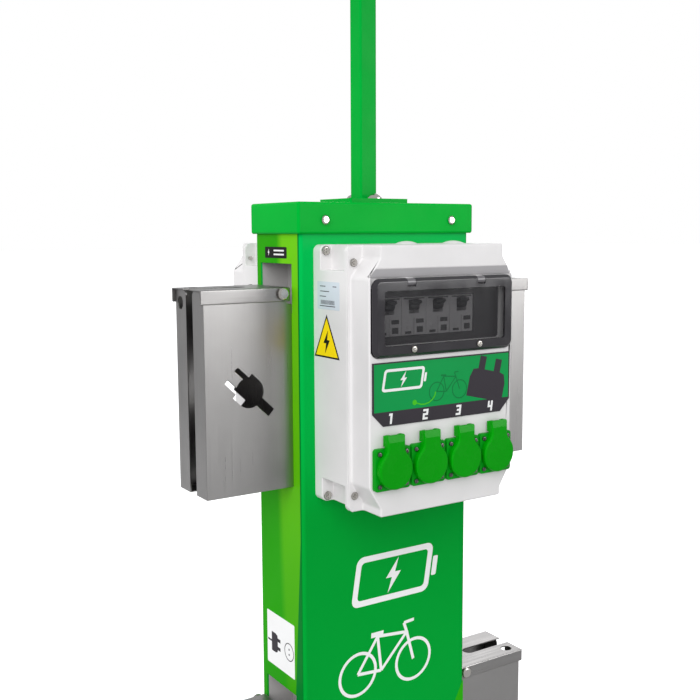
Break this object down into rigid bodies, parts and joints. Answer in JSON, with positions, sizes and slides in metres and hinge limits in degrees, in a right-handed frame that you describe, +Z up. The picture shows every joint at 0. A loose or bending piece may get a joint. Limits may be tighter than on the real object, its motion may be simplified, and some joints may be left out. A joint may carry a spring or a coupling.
{
  "type": "e-bike charging post",
  "caption": "Street charging post for e-bikes: sheet-metal column with mast, socket enclosures front and back, charger lockers with hinged lids.",
  "frame": {"origin": "on the ground under the centre of the column", "axes": "+Z up along the column, +X to the right as seen from the front, -Y out of the front enclosure"},
  "size_m": [0.504, 0.366, 1.8485],
  "materials": {
    "column_paint": "semi-gloss powder coat",
    "rubber": "matt",
    "cap_paint": "gloss powder coat",
    "fastener_steel": "bright",
    "mast_paint": "gloss powder coat",
    "black_plastic": "fine texture",
    "grey_plastic": "fine texture",
    "stainless_sheet": "brushed",
    "rail_steel": "zinc plated",
    "breaker_plastic": "fine texture",
    "toggle_plastic": "satin",
    "smoked_window": "gloss",
    "sign_face": "satin print",
    "socket_plastic": "satin",
    "flap_plastic": "satin"
  },
  "bodies": {
    "post": {"base_plate": "column_paint", "base_grommet": "rubber", "column_shell": "column_paint", "cap": "cap_paint", "cap_screws": "fastener_steel", "mast_flange": "mast_paint", "mast_tube": "mast_paint", "mast_bolts": "fastener_steel", "mast_end_cap": "black_plastic", "junction_box": "grey_plastic", "branch_cables": "black_plastic", "recess_pans": "stainless_sheet", "locker_upper_left": "stainless_sheet", "locker_upper_right": "stainless_sheet", "locker_lower_left": "stainless_sheet", "locker_lower_right": "stainless_sheet", "lid_pivot_bolts": "fastener_steel", "locker_screws": "fastener_steel", "enclosure_base_front": "grey_plastic", "enclosure_base_back": "grey_plastic", "enclosure_cover_front": "grey_plastic", "enclosure_cover_back": "grey_plastic", "cover_gaskets": "rubber", "cover_screws": "fastener_steel", "wall_screws": "fastener_steel", "blanking_plugs": "grey_plastic", "din_rails": "rail_steel", "mask_plates": "black_plastic", "breakers_front": "breaker_plastic", "breakers_back": "breaker_plastic", "window_hinge_pins": "fastener_steel", "sign_plates": "sign_face", "sockets_front": "socket_plastic", "sockets_back": "socket_plastic", "flap_pins": "fastener_steel", "socket_screws": "fastener_steel"},
    "lid_upper_left": {"lid_upper_left": "stainless_sheet"},
    "lid_upper_right": {"lid_upper_right": "stainless_sheet"},
    "lid_lower_left": {"lid_lower_left": "stainless_sheet"},
    "lid_lower_right": {"lid_lower_right": "stainless_sheet"},
    "window_front": {"window_lid_front": "smoked_window", "window_screws_front": "fastener_steel"},
    "flap_front_1": {"flap_front_1": "flap_plastic"},
    "flap_front_2": {"flap_front_2": "flap_plastic"},
    "flap_front_3": {"flap_front_3": "flap_plastic"},
    "flap_front_4": {"flap_front_4": "flap_plastic"},
    "toggle_front_1": {"toggle_front_1": "toggle_plastic"},
    "toggle_front_2": {"toggle_front_2": "toggle_plastic"},
    "toggle_front_3": {"toggle_front_3": "toggle_plastic"},
    "toggle_front_4": {"toggle_front_4": "toggle_plastic"},
    "window_back": {"window_lid_back": "smoked_window", "window_screws_back": "fastener_steel"},
    "flap_back_1": {"flap_back_1": "flap_plastic"},
    "flap_back_2": {"flap_back_2": "flap_plastic"},
    "flap_back_3": {"flap_back_3": "flap_plastic"},
    "flap_back_4": {"flap_back_4": "flap_plastic"},
    "toggle_back_1": {"toggle_back_1": "toggle_plastic"},
    "toggle_back_2": {"toggle_back_2": "toggle_plastic"},
    "toggle_back_3": {"toggle_back_3": "toggle_plastic"},
    "toggle_back_4": {"toggle_back_4": "toggle_plastic"}
  },
  "joints": [
    {"name": "lid_upper_left_hinge", "type": "hinge", "parent": "post", "child": "lid_upper_left", "pos_m": [-0.1434, 0.0035, 1.0285], "axis": [0, 1, 0], "range_deg": [0, 90]},
    {"name": "lid_upper_right_hinge", "type": "hinge", "parent": "post", "child": "lid_upper_right", "pos_m": [0.1434, -0.0035, 1.0285], "axis": [0, -1, 0], "range_deg": [0, 90]},
    {"name": "lid_lower_left_hinge", "type": "hinge", "parent": "post", "child": "lid_lower_left", "pos_m": [-0.1434, 0.0035, 0.4775], "axis": [0, 1, 0], "range_deg": [0, 90]},
    {"name": "lid_lower_right_hinge", "type": "hinge", "parent": "post", "child": "lid_lower_right", "pos_m": [0.1434, -0.0035, 0.4775], "axis": [0, -1, 0], "range_deg": [0, 90]},
    {"name": "window_front_hinge", "type": "hinge", "parent": "post", "child": "window_front", "pos_m": [0, -0.171, 1.045], "axis": [-1, 0, 0], "range_deg": [0, 100]},
    {"name": "flap_front_1_hinge", "type": "hinge", "parent": "post", "child": "flap_front_1", "pos_m": [-0.078, -0.176, 0.867], "axis": [-1, 0, 0], "range_deg": [0, 105], "stiffness_Nm_per_rad": 0.01, "springref_deg": -28.65},
    {"name": "flap_front_2_hinge", "type": "hinge", "parent": "post", "child": "flap_front_2", "pos_m": [-0.026, -0.176, 0.867], "axis": [-1, 0, 0], "range_deg": [0, 105], "stiffness_Nm_per_rad": 0.01, "springref_deg": -28.65},
    {"name": "flap_front_3_hinge", "type": "hinge", "parent": "post", "child": "flap_front_3", "pos_m": [0.026, -0.176, 0.867], "axis": [-1, 0, 0], "range_deg": [0, 105], "stiffness_Nm_per_rad": 0.01, "springref_deg": -28.65},
    {"name": "flap_front_4_hinge", "type": "hinge", "parent": "post", "child": "flap_front_4", "pos_m": [0.078, -0.176, 0.867], "axis": [-1, 0, 0], "range_deg": [0, 105], "stiffness_Nm_per_rad": 0.01, "springref_deg": -28.65},
    {"name": "toggle_front_1_tilt", "type": "hinge", "parent": "post", "child": "toggle_front_1", "pos_m": [-0.0742, -0.158, 1.017], "axis": [1, 0, 0], "range_deg": [0, 60]},
    {"name": "toggle_front_2_tilt", "type": "hinge", "parent": "post", "child": "toggle_front_2", "pos_m": [-0.0386, -0.158, 1.017], "axis": [1, 0, 0], "range_deg": [0, 60]},
    {"name": "toggle_front_3_tilt", "type": "hinge", "parent": "post", "child": "toggle_front_3", "pos_m": [-0.003, -0.158, 1.017], "axis": [1, 0, 0], "range_deg": [0, 60]},
    {"name": "toggle_front_4_tilt", "type": "hinge", "parent": "post", "child": "toggle_front_4", "pos_m": [0.0326, -0.158, 1.017], "axis": [1, 0, 0], "range_deg": [0, 60]},
    {"name": "window_back_hinge", "type": "hinge", "parent": "post", "child": "window_back", "pos_m": [0, 0.171, 1.045], "axis": [1, 0, 0], "range_deg": [0, 100]},
    {"name": "flap_back_1_hinge", "type": "hinge", "parent": "post", "child": "flap_back_1", "pos_m": [0.078, 0.176, 0.867], "axis": [1, 0, 0], "range_deg": [0, 105], "stiffness_Nm_per_rad": 0.01, "springref_deg": -28.65},
    {"name": "flap_back_2_hinge", "type": "hinge", "parent": "post", "child": "flap_back_2", "pos_m": [0.026, 0.176, 0.867], "axis": [1, 0, 0], "range_deg": [0, 105], "stiffness_Nm_per_rad": 0.01, "springref_deg": -28.65},
    {"name": "flap_back_3_hinge", "type": "hinge", "parent": "post", "child": "flap_back_3", "pos_m": [-0.026, 0.176, 0.867], "axis": [1, 0, 0], "range_deg": [0, 105], "stiffness_Nm_per_rad": 0.01, "springref_deg": -28.65},
    {"name": "flap_back_4_hinge", "type": "hinge", "parent": "post", "child": "flap_back_4", "pos_m": [-0.078, 0.176, 0.867], "axis": [1, 0, 0], "range_deg": [0, 105], "stiffness_Nm_per_rad": 0.01, "springref_deg": -28.65},
    {"name": "toggle_back_1_tilt", "type": "hinge", "parent": "post", "child": "toggle_back_1", "pos_m": [0.0742, 0.158, 1.017], "axis": [-1, 0, 0], "range_deg": [0, 60]},
    {"name": "toggle_back_2_tilt", "type": "hinge", "parent": "post", "child": "toggle_back_2", "pos_m": [0.0386, 0.158, 1.017], "axis": [-1, 0, 0], "range_deg": [0, 60]},
    {"name": "toggle_back_3_tilt", "type": "hinge", "parent": "post", "child": "toggle_back_3", "pos_m": [0.003, 0.158, 1.017], "axis": [-1, 0, 0], "range_deg": [0, 60]},
    {"name": "toggle_back_4_tilt", "type": "hinge", "parent": "post", "child": "toggle_back_4", "pos_m": [-0.0326, 0.158, 1.017], "axis": [-1, 0, 0], "range_deg": [0, 60]}
  ]
}
